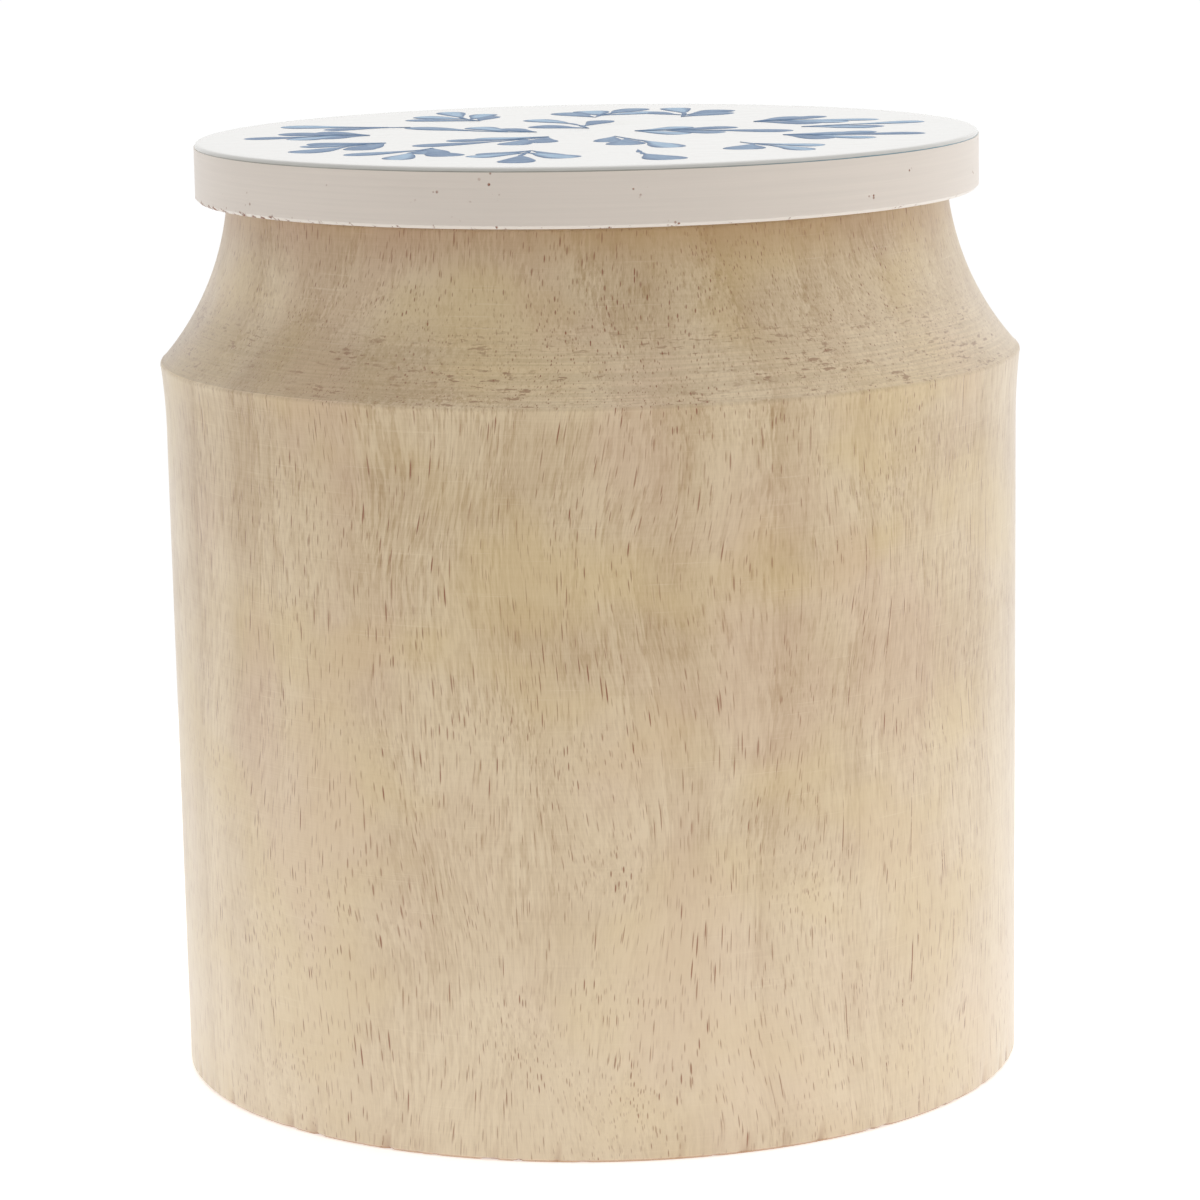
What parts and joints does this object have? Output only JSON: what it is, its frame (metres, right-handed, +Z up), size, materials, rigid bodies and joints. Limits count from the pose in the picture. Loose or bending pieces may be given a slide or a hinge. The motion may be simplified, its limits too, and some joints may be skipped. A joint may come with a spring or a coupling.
{
  "type": "spice canister",
  "caption": "Turned wooden spice canister with a hollow neck and a flat painted lift-off lid held by a finned silicone seal.",
  "frame": {"origin": "centre of the foot, on the surface that the canister stands on", "axes": "+Z up, along the axis that every piece is turned about; -Y is the side that the picture shows"},
  "size_m": [0.111, 0.111, 0.1206],
  "materials": {
    "mango_wood": "sanded, unfinished",
    "painted_wood": "satin paint, worn at the lower edge",
    "white_enamel": "gloss",
    "bare_wood": "sanded, unfinished",
    "silicone": "translucent, matte"
  },
  "bodies": {
    "canister": {"canister_body": "mango_wood"},
    "seal": {"lid_seal": "silicone"},
    "lid": {"lid_board": "painted_wood", "lid_enamel": "white_enamel", "lid_plug": "bare_wood"}
  },
  "joints": [
    {"name": "lid_lift", "type": "slide", "parent": "canister", "child": "seal", "axis": [0, 0, 1], "range_m": [0, 0.06]},
    {"name": "lid_turn", "type": "hinge", "parent": "seal", "child": "lid", "pos_m": [0, 0, 0.1167], "axis": [0, 0, 1], "continuous": true}
  ]
}
